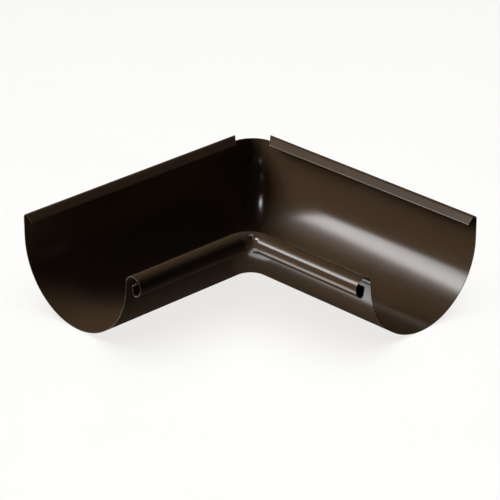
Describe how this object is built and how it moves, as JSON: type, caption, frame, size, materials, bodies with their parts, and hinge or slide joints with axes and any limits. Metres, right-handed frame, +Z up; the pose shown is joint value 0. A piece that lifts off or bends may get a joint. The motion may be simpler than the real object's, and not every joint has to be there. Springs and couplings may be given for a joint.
{
  "type": "internal gutter angle",
  "caption": "Half round steel gutter corner for an inside bend, with a folded back lip, a rolled bead and a rounded mitre that carries rainwater round the corner.",
  "frame": {"origin": "on the underside's level, under the middle of the square that both arms span", "axes": "+Z up; one arm runs along +X and the other along -Y; the two flat back walls face +Y and -X; the part is its own mirror image in the upright plane x = -y"},
  "size_m": [0.268, 0.268, 0.0852],
  "materials": {
    "coated_steel": "satin dark brown coating"
  },
  "bodies": {
    "root": {"gutter_angle": "coated_steel"}
  },
  "joints": []
}
